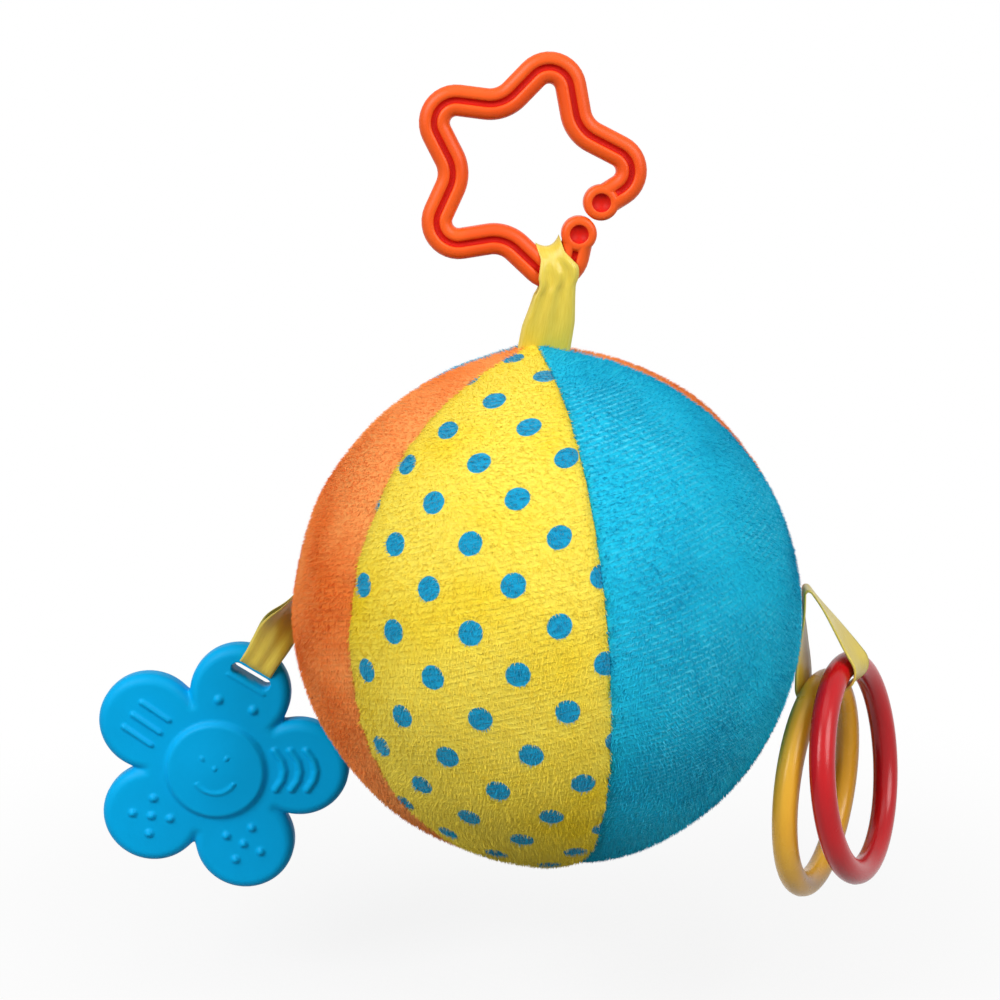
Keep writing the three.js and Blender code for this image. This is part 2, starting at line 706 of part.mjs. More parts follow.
function makeRingSide() {
  const side = new THREE.Group();
  const fold = onBall(RIGHT_RIBBON_BEARING, RIGHT_RIBBON_HEIGHT, foldReach);
  const out = towards(RING_BEARING);
  const along = UP.clone().cross(out);
  const away = out.clone().multiplyScalar(Math.sin(rad(RIGHT_RIBBON_SPREAD)));
  away.addScaledVector(UP, -Math.cos(rad(RIGHT_RIBBON_SPREAD)));
  const pivot = fold.clone().addScaledVector(away, RIGHT_RIBBON_REACH);
  const frame = ribbonFrame(fold, away, along);
  const apart = 2 * RING_TUBE_RADIUS + RING_GAP;
  const half = Math.sqrt((apart / 2) ** 2 - RING_STAGGER ** 2);
  const sag = RING_RADIUS - Math.sqrt(RING_RADIUS ** 2 - (RIGHT_RIBBON_GATHER / 2) ** 2);
  const r = RING_TUBE_RADIUS + FIT_GAP + sag;
  const red = { y: half, z: -RING_STAGGER, r };
  const yellow = { y: -half, z: RING_STAGGER, r };
  const ribbon = piece('right_ribbon', ribbonGeometry({
    loops: [red, yellow],
    gather: RIGHT_RIBBON_GATHER,
    reach: RIGHT_RIBBON_REACH,
    twist: frame.twist,
  }), LOOKS.satin);
  ribbon.quaternion.setFromRotationMatrix(frame.turn);
  ribbon.position.copy(pivot);
  const topOf = (tube) => pivot.clone()
    .addScaledVector(frame.side, tube.y).addScaledVector(away, tube.z);
  side.add(ribbon);
  side.add(makeRing('red_ring', LOOKS.ringRed, topOf(red), out, along, RED_RING_LEAN));
  side.add(makeRing('yellow_ring', LOOKS.ringYellow, topOf(yellow), out, along, 0));
  return side;
}

function makeToy() {
  const toy = new THREE.Group();
  const star = makeStar();
  const ribbonTop = clockPoint(ribbonTipTurn, tipPeak).add(star.position);
  const ball = makeBall();
  ball.position.set(0, 0, ribbonTop.z - TOP_RIBBON_DROP - foldReach);
  ball.add(makeFlowerSide(), makeRingSide());
  toy.add(star, makeTopRibbon(ribbonTop, -ribbonTop.x), ball);
  return toy;
}

export default makeToy();
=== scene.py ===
"""Plush teether ball: six plush panels over fibre fill, hung from a star link, with teethers."""
import json
import math

import bmesh
import bpy
from mathutils import Matrix, Vector, noise


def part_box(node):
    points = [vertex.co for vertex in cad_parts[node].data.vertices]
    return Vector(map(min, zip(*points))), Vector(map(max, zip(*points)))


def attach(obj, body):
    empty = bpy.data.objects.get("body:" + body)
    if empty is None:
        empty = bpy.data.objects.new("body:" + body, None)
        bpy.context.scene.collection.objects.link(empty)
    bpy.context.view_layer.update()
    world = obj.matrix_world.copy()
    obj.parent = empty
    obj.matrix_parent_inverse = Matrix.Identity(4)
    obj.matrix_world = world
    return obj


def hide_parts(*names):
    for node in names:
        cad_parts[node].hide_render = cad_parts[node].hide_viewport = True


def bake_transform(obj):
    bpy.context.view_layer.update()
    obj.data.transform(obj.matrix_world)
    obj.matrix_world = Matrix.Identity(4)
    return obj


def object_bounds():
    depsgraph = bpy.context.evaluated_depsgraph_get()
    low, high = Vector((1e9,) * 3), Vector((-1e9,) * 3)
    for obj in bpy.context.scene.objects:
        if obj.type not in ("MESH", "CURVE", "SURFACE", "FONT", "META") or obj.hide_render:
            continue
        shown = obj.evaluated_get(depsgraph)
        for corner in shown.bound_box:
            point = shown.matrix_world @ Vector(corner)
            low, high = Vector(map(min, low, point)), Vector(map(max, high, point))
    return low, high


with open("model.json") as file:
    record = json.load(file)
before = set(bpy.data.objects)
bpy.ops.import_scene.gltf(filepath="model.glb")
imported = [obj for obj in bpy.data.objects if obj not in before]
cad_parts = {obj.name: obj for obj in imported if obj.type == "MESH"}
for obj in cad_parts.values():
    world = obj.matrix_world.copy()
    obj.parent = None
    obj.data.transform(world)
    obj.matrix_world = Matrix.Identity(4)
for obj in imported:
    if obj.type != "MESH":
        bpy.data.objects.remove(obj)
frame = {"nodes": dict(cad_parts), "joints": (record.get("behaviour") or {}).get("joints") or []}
cad_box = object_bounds()

# Rattle: a white moulded capsule in two halves that snap together in the middle of the ball,
# with three loose beads inside. The CAD shapes stay, and get their plastic here.


class Wire:
    """A socket that takes part in plain sums: each sum adds a Math node."""

    def __init__(self, bench, socket):
        self.bench, self.socket = bench, socket

    def op(self, operation, *others):
        sockets = dict(enumerate((self, *others)))
        return self.bench.node("ShaderNodeMath", {"operation": operation}, sockets)

    def __add__(self, other):
        return self.op("ADD", other)

    def __sub__(self, other):
        return self.op("SUBTRACT", other)

    def __rsub__(self, other):
        return self.op("MULTIPLY", -1) + other

    def __mul__(self, other):
        return self.op("MULTIPLY", other)

    __radd__, __rmul__ = __add__, __mul__


class Bench:
    """A node tree under construction."""

    def __init__(self, tree):
        self.tree = tree

    def node(self, kind, settings=None, sockets=None, output=0):
        """Adds a node, sets it, then fills its sockets with values or wires."""
        node = self.tree.nodes.new(kind)
        for name, value in (settings or {}).items():
            setattr(node, name, value)
        for key, value in (sockets or {}).items():
            if isinstance(value, Wire):
                self.tree.links.new(value.socket, node.inputs[key])
            else:
                node.inputs[key].default_value = value
        return Wire(self, node.outputs[output])


class Finish(Bench):
    """A material with one Principled shader."""

    def __init__(self, name):
        self.material = bpy.data.materials.new(name)
        self.material.use_nodes = True
        super().__init__(self.material.node_tree)
        self.shader = self.tree.nodes["Principled BSDF"]
        self.place = self.node("ShaderNodeTexCoord", output="Object")

    def spots(self, scale, detail=2.0, place=None):
        """Soft noise from 0 to 1; the scale is in spots a metre."""
        sockets = {"Vector": place or self.place, "Scale": scale, "Detail": detail}
        return self.node("ShaderNodeTexNoise", {}, sockets)

    def step(self, value, low, high):
        """0 below low, 1 above high, and smooth between."""
        settings = {"interpolation_type": "SMOOTHSTEP"}
        return self.node("ShaderNodeMapRange", settings, {0: value, 1: low, 2: high})

    def mix(self, first, second, share):
        sockets = {0: share, 6: first, 7: second}
        return self.node("ShaderNodeMix", {"data_type": "RGBA"}, sockets, output=2)

    def bump(self, height, depth):
        sockets = {"Height": height, "Distance": depth, "Strength": 1.0}
        return self.node("ShaderNodeBump", {}, sockets, output="Normal")

    def finish(self, sockets):
        for key, value in sockets.items():
            if isinstance(value, Wire):
                self.tree.links.new(value.socket, self.shader.inputs[key])
            else:
                self.shader.inputs[key].default_value = value
        return self.material


def paint(red, green, blue):
    """Linear colour of a screen colour from 0 to 255."""
    def linear(part):
        part /= 255
        return part / 12.92 if part <= 0.04045 else ((part + 0.055) / 1.055) ** 2.4
    return (linear(red), linear(green), linear(blue), 1.0)


def moulded(name, colour, deep, roughness, gloss=0.5):
    """Moulded plastic: faint flow marks in its colour, a handled gloss and a fine skin."""
    look = Finish(name)
    flow = look.spots(45, 3)
    handled = look.spots(160, 4)
    skin = look.spots(2600, 2)
    return look.finish({
        "Base Color": look.mix(colour, deep, look.step(flow, 0.35, 0.75)),
        "Roughness": roughness + 0.16 * (handled - 0.5),
        "Normal": look.bump(skin, 0.00003),
        "Specular IOR Level": gloss,
    })


def dress(nodes, material):
    """Gives CAD nodes a finish."""
    for name in nodes:
        mesh = frame["nodes"][name].data
        mesh.materials.clear()
        mesh.materials.append(material)


dress(["rattle_capsule_base", "rattle_capsule_lid"],
      moulded("capsule_plastic", paint(233, 232, 226), paint(222, 221, 214), 0.42))
dress(["rattle_bead_1", "rattle_bead_2", "rattle_bead_3"],
      moulded("bead_plastic", paint(200, 204, 208), paint(186, 190, 196), 0.3))

# Fibre fill: loose white polyester stuffed round the rattle in two handfuls, an upper and a lower
# one. Each is a lumpy half ball with a hollow for the capsule; nothing fixes it but the panels.

BALL = sum((Vector(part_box(n)[0]) + Vector(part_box(n)[1]) for n in ("upper_fill", "lower_fill")),
           Vector()) / 4


def add_mesh(name, points, faces, material):
    mesh = bpy.data.meshes.new(name)
    mesh.from_pydata([tuple(p) for p in points], [], faces)
    mesh.materials.append(material)
    mesh.polygons.foreach_set("use_smooth", [True] * len(mesh.polygons))
    mesh.update()
    piece = bpy.data.objects.new(name, mesh)
    bpy.context.scene.collection.objects.link(piece)
    return piece


def bands(rows, around, closed=False):
    """Faces between neighbouring rows of points, each row a closed loop of so many points."""
    faces = []
    for i in range(rows if closed else rows - 1):
        a, b = i * around, (i + 1) % rows * around
        faces += [(a + j, a + (j + 1) % around, b + (j + 1) % around, b + j) for j in range(around)]
    return faces


def lids(rows, around):
    """Faces that close the first and the last row."""
    last = (rows - 1) * around
    return [tuple(reversed(range(around))), tuple(range(last, last + around))]


def face_outwards(piece, merge=0.0):
    """Turns all faces outwards, after joining points that lie closer than merge."""
    work = bmesh.new()
    work.from_mesh(piece.data)
    if merge:
        bmesh.ops.remove_doubles(work, verts=work.verts, dist=merge)
    bmesh.ops.recalc_face_normals(work, faces=work.faces)
    work.to_mesh(piece.data)
    work.free()


def fibre_finish():
    """Polyester fibre: white, tufted and shadowed between its tufts."""
    look = Finish("fibre_fill")
    tufts = look.spots(120, 4)
    strands = look.spots(1500, 3)
    white, shaded = paint(243, 243, 240), paint(216, 215, 210)
    return look.finish({
        "Base Color": look.mix(white, shaded, look.step(tufts, 0.4, 0.8)),
        "Roughness": 0.95,
        "Normal": look.bump(0.6 * tufts + 0.4 * strands, 0.0012),
        "Sheen Weight": 0.4,
    })


def fill_half(name, way, material):
    """Half ball with a hollow for the capsule; way is 1 for the upper one and -1 for the lower."""
    around, rings = 48, 14
    hollow, outside, rim = 0.0153, 0.0531, 0.0002
    lump_high, below_cover = 0.0012, 0.0013
    polars = [0.5 * math.pi * (k / rings) for k in range(rings + 1)]
    profile = [(outside, polar) for polar in polars]
    profile += [(hollow, polar) for polar in reversed(polars)]
    points = []
    for radius, polar in profile:
        for j in range(around):
            turn = 2 * math.pi * j / around
            flat = math.sin(polar)
            ray = Vector((flat * math.sin(turn), flat * math.cos(turn), math.cos(polar)))
            lump = lump_high * noise.noise(ray * 5 + Vector((way, 0, 0))) - below_cover
            spot = ray * (radius + (lump if radius == outside else 0))
            points.append(BALL + Vector((spot.x, spot.y, way * max(spot.z, rim))))
    piece = add_mesh(name, points, bands(len(profile), around), material)
    face_outwards(piece, merge=1e-6)
    return piece


fibre = fibre_finish()
for node, way in (("upper_fill", 1), ("lower_fill", -1)):
    handful = fill_half("fibre_" + node, way, fibre)
    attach(handful, "ball")
    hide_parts(node)

# Plush cover: six gores of short-pile plush, orange, dotted yellow and blue twice round, sewn
# edge to edge with turned-in allowances. Each is cut flat, and the fill blows it out between its
# seams. The pile is short fibres brushed downwards, with patches rubbed the other way.

GORES = ("yellow_panel_front", "blue_panel_front", "orange_panel_front",
         "yellow_panel_back", "blue_panel_back", "orange_panel_back")
SPAN_DEGREES = (60, 78, 42, 60, 67.5, 52.5)
FIRST_SEAM_DEGREES = -48.7
LEAN = Matrix.Rotation(math.radians(-3), 3, "Y")
CROWN, SEAM_DIP = 0.0604, 0.0026
GORE_ROWS, GORE_COLUMNS = 66, 20
TIP_ANGLE = 0.008


def cover_ray(height, bearing):
    """Way out from the ball's middle at a height angle and a bearing from the front."""
    flat = math.cos(height)
    return LEAN @ Vector((flat * math.sin(bearing), -flat * math.cos(bearing), math.sin(height)))


def row_height(i):
    return (math.pi / 2 - TIP_ANGLE) * (2 * i / GORE_ROWS - 1)


def gore_edges(index):
    """Bearings of a gore's two seams."""
    start = FIRST_SEAM_DEGREES + sum(SPAN_DEGREES[:index])
    return math.radians(start), math.radians(start + SPAN_DEGREES[index])


def seam_radius(height):
    """Distance of a seam from the ball's middle; the ribbon draws the top up to a point."""
    drawn_up = 0.0022 * math.exp((height - math.pi / 2) / 0.12)
    return CROWN + drawn_up - SEAM_DIP * math.cos(height) ** 0.7


def blown_cover():
    """Radii of the stuffed cover, row by row round the ball, by cloth simulation with held seams.
    The form is simulated ten times as large, because cloth is steadier at that size."""
    larger, around, most_swell = 10, len(GORES) * GORE_COLUMNS, 0.0026
    crown_share = 0.5
    radii = []
    for i in range(GORE_ROWS + 1):
        seam = seam_radius(row_height(i))
        rise = crown_share * max(CROWN - seam, 0)
        radii.append([seam + rise * (1 - abs(2 * (j % GORE_COLUMNS) / GORE_COLUMNS - 1) ** 3)
                      for j in range(around)])
    bearings = []
    for index in range(len(GORES)):
        first, second = gore_edges(index)
        bearings += [first + (second - first) * j / GORE_COLUMNS for j in range(GORE_COLUMNS)]
    points = [cover_ray(row_height(i), bearings[j]) * radii[i][j] * larger
              for i in range(GORE_ROWS + 1) for j in range(around)]
    faces = bands(GORE_ROWS + 1, around) + lids(GORE_ROWS + 1, around)
    form = add_mesh("cover_form", points, faces, fibre)
    last = GORE_ROWS * around
    held = [k for k in range(len(points))
            if k < around or k >= last or k % around % GORE_COLUMNS == 0]
    form.vertex_groups.new(name="seams").add(held, 1.0, "REPLACE")
    cloth = form.modifiers.new("stuffing", "CLOTH").settings
    cloth.vertex_group_mass = "seams"
    cloth.use_pressure = True
    cloth.uniform_pressure_force = 4
    cloth.effector_weights.gravity = 0
    cloth.mass = 0.15
    for step in range(1, 21):
        bpy.context.scene.frame_set(step)
    blown = form.evaluated_get(bpy.context.evaluated_depsgraph_get()).data
    for k, vertex in enumerate(blown.vertices):
        i, j = divmod(k, around)
        swell = vertex.co.length / larger - radii[i][j]
        radii[i][j] += min(max(swell, 0), most_swell)
    bpy.data.objects.remove(form)
    bpy.context.scene.frame_set(1)
    return radii


def store_vectors(piece, title, vectors):
    attribute = piece.data.attributes.new(title, "FLOAT_VECTOR", "POINT")
    attribute.data.foreach_set("vector", [x for vector in vectors for x in vector])


def gore(name, index, radii, material):
    """One panel as a closed skin: a loop of points for each row, with its edges turned in."""
    thick, allowance, gap = 0.0016, 0.004, 0.0001
    pucker, pucker_reach, lump = 0.00042, 0.0034, 0.0007
    first, second = gore_edges(index)
    middle, half_gore = (first + second) / 2, (second - first) / 2
    points, flat, pile, nap = [], [], [], []
    for i in range(GORE_ROWS + 1):
        height = row_height(i)
        girth = CROWN * math.cos(height)
        edge = half_gore - min(gap / girth, 0.2 * half_gore)
        fold = min(thick / girth, 0.4 * edge)
        outer, inner = [], []
        for j in range(-1, GORE_COLUMNS + 2):
            column = min(max(j, 0), GORE_COLUMNS)
            turned_in = j != column
            u = 2 * column / GORE_COLUMNS - 1
            ray = cover_ray(height, middle + u * edge)
            radius = radii[i][(index * GORE_COLUMNS + column) % len(radii[i])]
            from_seam = (1 - abs(u)) * half_gore * girth
            ripple = math.sin(height * 76 + 5 * noise.noise(Vector((height * 9, index * 3.1, u))))
            near_seam = math.exp(-(from_seam / pucker_reach) ** 2) * math.cos(height)
            radius += pucker * ripple * near_seam
            radius += lump * noise.noise(ray * 3.4 + Vector((7, 0, 0))) * (1 - abs(u) ** 2)
            depth = seam_radius(height) - allowance
            outer.append(ray * (depth if turned_in else radius))
            back = cover_ray(height, middle + u * (edge - fold))
            inner.append(back * (depth if turned_in else radius - thick))
            down = LEAN @ Vector((0, 0, -1))
            down = (down - ray * down.dot(ray)).normalized()
            swirl = 1.5 * noise.noise(ray * 2.6 + Vector((0, 11, 0)))
            nap.append(Matrix.Rotation(swirl, 3, ray) @ down)
            flat.append((1000 * u * edge * girth, 1000 * height * CROWN, 0.0))
            pile.append(0.0 if turned_in else 1.0)
        points += [BALL + p for p in outer + list(reversed(inner))]
        nap += list(reversed(nap[-len(inner):]))
        flat += list(reversed(flat[-len(inner):]))
        pile += [0.0] * len(inner)
    rows = GORE_ROWS + 1
    loop = len(points) // rows
    piece = add_mesh(name, points, bands(rows, loop) + lids(rows, loop), material)
    store_vectors(piece, "panel_mm", flat)
    store_vectors(piece, "nap", nap)
    piece.data.attributes.new("pile", "FLOAT", "POINT").data.foreach_set("value", pile)
    face_outwards(piece)
    return piece


def pile_tree():
    """Geometry Nodes: short leaning fibres scattered over the outside of a panel."""
    tree = bpy.data.node_groups.new("plush_pile", "GeometryNodeTree")
    sockets = {}
    for title, kind in (("Panel", "Geometry"), ("Fibre length", "Float"),
                        ("Fibre radius", "Float"), ("Fibres a square metre", "Float"),
                        ("Seed", "Int"), ("Finish", "Material")):
        socket = tree.interface.new_socket(title, in_out="INPUT", socket_type="NodeSocket" + kind)
        sockets[title] = socket.identifier
    tree.interface.new_socket("Plush", in_out="OUTPUT", socket_type="NodeSocketGeometry")
    bench = Bench(tree)
    given = tree.nodes.new("NodeGroupInput")
    take = {title: Wire(bench, given.outputs[title]) for title in sockets}

    def stored(title, kind):
        return bench.node("GeometryNodeInputNamedAttribute", {"data_type": kind}, {"Name": title})

    def added(first, second):
        return bench.node("ShaderNodeVectorMath", {"operation": "ADD"}, {0: first, 1: second})

    spread = bench.node("GeometryNodeDistributePointsOnFaces", {}, {
        "Mesh": take["Panel"], "Seed": take["Seed"],
        "Density": take["Fibres a square metre"] * stored("pile", "FLOAT")})
    normal = Wire(bench, spread.socket.node.outputs["Normal"])
    stray = bench.node("FunctionNodeRandomValue", {"data_type": "FLOAT_VECTOR"}, {
        0: (-0.3, -0.3, -0.3), 1: (0.3, 0.3, 0.3), "Seed": take["Seed"]})
    way = added(added(normal, stored("nap", "FLOAT_VECTOR")), stray)
    turn = bench.node("FunctionNodeAlignRotationToVector", {"axis": "Z"}, {"Vector": way})
    size = bench.node("FunctionNodeRandomValue", {"data_type": "FLOAT"}, {
        2: 0.65, 3: 1.15, "Seed": take["Seed"]}, output=1)
    fibre_shape = bench.node("GeometryNodeMeshCone", {}, {
        "Vertices": 3, "Radius Top": 0.0, "Radius Bottom": take["Fibre radius"],
        "Depth": take["Fibre length"]})
    stood = bench.node("GeometryNodeInstanceOnPoints", {}, {
        "Points": spread, "Instance": fibre_shape, "Rotation": turn, "Scale": size})
    join = tree.nodes.new("GeometryNodeJoinGeometry")
    for part in (take["Panel"], stood):
        tree.links.new(part.socket, join.inputs[0])
    joined = Wire(bench, join.outputs[0])
    real = bench.node("GeometryNodeRealizeInstances", {}, {"Geometry": joined})
    done = bench.node("GeometryNodeSetMaterial", {}, {
        "Geometry": real, "Material": take["Finish"]})
    tree.links.new(done.socket, tree.nodes.new("NodeGroupOutput").inputs[0])
    return tree, sockets


def settled(piece):
    """A plain mesh of the piece with its modifiers."""
    seen_by = bpy.context.evaluated_depsgraph_get()
    return bpy.data.meshes.new_from_object(piece.evaluated_get(seen_by))


def grown(piece, tree, sockets, values):
    """Runs a node tree on a piece and keeps the result as its plain mesh."""
    modifier = piece.modifiers.new(tree.name, "NODES")
    modifier.node_group = tree
    for title, value in values.items():
        modifier[sockets[title]] = value
    result = settled(piece)
    piece.modifiers.remove(modifier)
    piece.data = result


def plush(name, light, deep, row_highlight, row_share, dot_colour=None):
    """Plush in light and deep tones that paint the sheen and shade of pile rubbed different ways,
    with the knit's rows showing in places, painted lighter as highlight.
    """
    look = Finish(name)
    flat = look.node("ShaderNodeAttribute", {"attribute_name": "panel_mm"}, output="Vector")
    across = look.node("ShaderNodeSeparateXYZ", {}, {0: flat}, output="X")
    along = look.node("ShaderNodeSeparateXYZ", {}, {0: flat}, output="Y")
    # Painted sheen and shade: patches of pile rubbed the other way are coloured in the light and
    # the deep tone, as they would look lit and shaded.
    brushed_sheen_shade = look.step(look.spots(30, 4), 0.42, 0.72)
    colour = look.mix(light, deep, brushed_sheen_shade)
    row_pitch, slant = 1.3, 0.2
    wander = look.spots(70, 2)
    beat = (2 * math.pi / row_pitch) * (along - slant * across) + 9 * wander
    row = look.step(beat.op("SINE"), -0.3, 0.9) * look.step(look.spots(1300, 2), 0.35, 0.6)
    rows_showing = look.step(look.spots(24, 2), 0.4, 0.6)
    # Painted highlight: the knit's rows are coloured lighter on their ridges, in random patches;
    # the rows themselves are the knit's real texture, also in the bump.
    colour = look.mix(colour, row_highlight, row * rows_showing * row_share)
    specks = look.step(look.spots(900, 3), 0.5, 0.85)
    colour = look.mix(colour, deep, 0.5 * specks)
    if dot_colour:
        column, dot_radius, skew = 9.4, 2.7, 0.061
        x = (across + skew * along - 2.7) * (1 / column) + 1
        y = (along - skew * across - 1.3) * (1 / column)
        s, t = 0.5 * (x + y), 0.5 * (x - y)
        s, t = s - s.op("ROUND"), t - t.op("ROUND")
        du, dv = column * (s + t), column * (s - t)
        away = (du * du + dv * dv).op("SQRT") + 0.3 * (look.spots(700, 2) - 0.5)
        outside = look.step(away, dot_radius - 0.15, dot_radius + 0.1)
        colour = look.mix(colour, dot_colour, 1 - outside)
    return look.finish({
        "Base Color": colour,
        "Roughness": 0.92,
        "Normal": look.bump(0.7 * look.spots(1700, 3) + 0.3 * row, 0.0004),
        "Specular IOR Level": 0.25,
        "Sheen Weight": 0.32,
        "Sheen Roughness": 0.45,
        "Sheen Tint": light,
    })


# Each plush has a light and a deep tone for painted sheen and shade, and a lighter colour painted
# as highlight on the knit's rows; the dots are print.
plush_finishes = {
    "orange": plush("plush_orange", paint(252, 164, 90), paint(240, 120, 42),
                    paint(252, 178, 112), 0.25),
    "yellow": plush("plush_yellow", paint(250, 228, 84), paint(244, 214, 30),
                    paint(250, 234, 120), 0.2, paint(8, 158, 204)),
    "blue": plush("plush_blue", paint(22, 192, 226), paint(0, 154, 194),
                  paint(84, 214, 240), 0.85),
}
radii = blown_cover()
pile, pile_sockets = pile_tree()
for index, node in enumerate(GORES):
    colour = node.split("_")[0]
    panel = gore("plush_" + node, index, radii, plush_finishes[colour])
    grown(panel, pile, pile_sockets, {
        "Fibre length": 0.0010, "Fibre radius": 0.0001, "Fibres a square metre": 3.2e6,
        "Seed": 11 + index, "Finish": plush_finishes[colour]})
    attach(panel, "ball")
    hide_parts(node)

# Ribbons: three loops of 12 mm yellow satin ribbon, folded round what they hold and sewn into the
# ball by both ends: one where the panels meet at the top, one in a seam on each side.

RIBBON_WIDTH, RIBBON_THICK = 0.012, 0.0005
JOINTS = {joint["name"]: joint for joint in frame["joints"]}


def joint_place(name):
    return Vector(JOINTS[name]["pos_m"])


def satin():
    """Satin: a smooth warp-faced weave with a woven edge, whose gloss runs along the threads."""
    look = Finish("ribbon_satin")
    flat = look.node("ShaderNodeAttribute", {"attribute_name": "ribbon_mm"}, output="Vector")
    across = look.node("ShaderNodeSeparateXYZ", {}, {0: flat}, output="X")
    along = look.node("ShaderNodeSeparateXYZ", {}, {0: flat}, output="Y")
    warp = (across * (2 * math.pi / 0.32)).op("SINE")
    weft = (along * (2 * math.pi / 0.5)).op("SINE")
    half_mm = 500 * RIBBON_WIDTH
    selvedge = look.step(across.op("ABSOLUTE"), 0.84 * half_mm, 0.9 * half_mm)
    run = look.node("ShaderNodeVectorMath", {"operation": "MULTIPLY"},
                    {0: flat, 1: (4.0, 0.25, 0.0)})
    threads = look.spots(1.0, 3, run)
    bright, deep = paint(230, 206, 78), paint(220, 192, 60)
    colour = look.mix(bright, deep, look.step(threads, 0.3, 0.75))
    return look.finish({
        "Base Color": look.mix(colour, paint(236, 216, 110), 0.5 * selvedge),
        "Roughness": 0.24 + 0.1 * threads + 0.25 * selvedge,
        "Normal": look.bump(0.12 * warp + 0.2 * weft * selvedge + selvedge, 0.00005),
        "Sheen Weight": 0.25,
        "Sheen Roughness": 0.3,
        "Sheen Tint": paint(252, 244, 190),
        "Anisotropic": 0.55,
    })


def belt(outlines, steps):
    """Evenly spaced points of the tight loop round outlines in the ribbon's own plane."""
    spots = sorted(set(p for outline in outlines for p in outline))

    def chain(ordered):
        kept = []
        for p in ordered:
            while len(kept) > 1 and ((kept[-1][0] - kept[-2][0]) * (p[1] - kept[-2][1])
                                     - (kept[-1][1] - kept[-2][1]) * (p[0] - kept[-2][0])) <= 0:
                kept.pop()
            kept.append(p)
        return kept[:-1]

    hull = chain(spots) + chain(spots[::-1])
    first = min(range(len(hull)), key=lambda k: hull[k][1])
    hull = hull[first:] + hull[:first + 1]
    lengths = [0.0]
    for a, b in zip(hull, hull[1:]):
        lengths.append(lengths[-1] + math.dist(a, b))
    points, k = [], 0
    for step in range(steps):
        goal = lengths[-1] * step / steps
        while lengths[k + 1] < goal:
            k += 1
        share = (goal - lengths[k]) / (lengths[k + 1] - lengths[k])
        points.append(Vector(hull[k]).lerp(Vector(hull[k + 1]), share))
    return points, lengths[-1]


def oval(side, away, half_side, half_away):
    turns = [2 * math.pi * k / 40 for k in range(40)]
    return [(side + half_side * math.cos(t), away + half_away * math.sin(t)) for t in turns]


def ribbon(name, fold, hold, fold_across, hold_across, hold_up, held, widths, sewn_in, wave, pleat):
    """A folded loop from its sewn end to what it holds; held gives the outlines inside the loop at
    a place across it, from -1 to 1. Its lie turns from the fold's to the held piece's, and widths
    are those of the gathered ribbon inside what it holds and just below it."""
    steps, columns, fold_radius = 96, 12, 0.0006
    reach = (hold - fold).length + sewn_in
    straight = (hold - fold).normalized()
    if fold_across.dot(hold_across) < 0:
        fold_across = -fold_across
    side_way = hold_up.cross(hold_across).normalized()
    grids, flat, loop_length = {}, {}, 0
    for skin in (0, 1):
        for column in range(columns + 1):
            x = 2 * column / columns - 1
            pad = skin * RIBBON_THICK
            outlines = [oval(0, -reach, fold_radius + pad, fold_radius + pad)]
            outlines += [oval(s, a, hs + pad, ha + pad) for s, a, hs, ha in held(x)]
            loop, length = belt(outlines, steps)
            loop_length = max(loop_length, length)
            for step, (side, away) in enumerate(loop):
                part = min(max(-away / reach, 0), 1)
                climb = min(max(2 * away / max(a for _, a in loop), 0), 1)
                ease = part * part * (3 - 2 * part)
                across = hold_across.lerp(fold_across, ease).normalized()
                up = hold_up.lerp(straight, min(1, 5 * part)).normalized()
                neck = widths[1] + (widths[0] - widths[1]) * climb
                half = 0.5 * (neck + (RIBBON_WIDTH - neck) * min(1, ease * 1.6))
                bow = wave * math.sin(math.pi * part) * (1 - 0.6 * x * x)
                bow += pleat * math.cos(2.6 * math.pi * x + 0.5) * (1 - part) * (1 - climb)
                bow = math.copysign(1, side) * bow
                ripple = 0.00025 * noise.noise(Vector((x * 1.5, away * 130, 1 if side > 0 else 5)))
                spot = hold + side_way * (side + bow + ripple) + up * away + across * (x * half)
                grids[skin, step, column] = spot
                flat[step, column] = (500 * RIBBON_WIDTH * x, 1000 * length * step / steps, 0.0)
    order = [(skin, step, column) for skin in (0, 1) for step in range(steps)
             for column in range(columns + 1)]
    index = {key: k for k, key in enumerate(order)}
    faces = []
    for step in range(steps):
        ahead = (step + 1) % steps
        for column in range(columns):
            for skin in (0, 1):
                faces.append([index[skin, step, column], index[skin, ahead, column],
                              index[skin, ahead, column + 1], index[skin, step, column + 1]])
        for column in (0, columns):
            faces.append([index[0, step, column], index[0, ahead, column],
                          index[1, ahead, column], index[1, step, column]])
    piece = add_mesh(name, [grids[key] for key in order], faces, satin_finish)
    store_vectors(piece, "ribbon_mm", [flat[step, column] for _, step, column in order])
    face_outwards(piece)
    return piece, loop_length


def hang_ribbon(node, made, start, way):
    """Bakes a ribbon's placement into its mesh and hides its CAD part; start and way are not used.
    """
    piece, length = made
    start + 0.007 * way
    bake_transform(piece)
    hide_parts(node)


satin_finish = satin()
STAR_MIDDLE = Vector((-0.0058381, 0, -0.0190957))
tip_up = (STAR_MIDDLE - joint_place("star_swing")).normalized()
tip_across = Vector((0, 1, 0)).cross(tip_up)


def star_notch(x):
    """The bar inside the star's tip: the gathered ribbon lies there and climbs both sides."""
    return [(0, 0, 0.0037, 0.0056 + 0.0016 * x * x)]


hang_ribbon("top_ribbon", ribbon(
    "satin_top_ribbon", joint_place("ball_swing") + Vector((-0.0012, 0, 0)),
    joint_place("star_swing"), Vector((1, 0, 0)), tip_across, tip_up, star_notch,
    widths=(0.0056, 0.0094), sewn_in=0.0035, wave=0.0006, pleat=0.0005),
    joint_place("star_swing"),
    (joint_place("ball_swing") - joint_place("star_swing")).normalized())

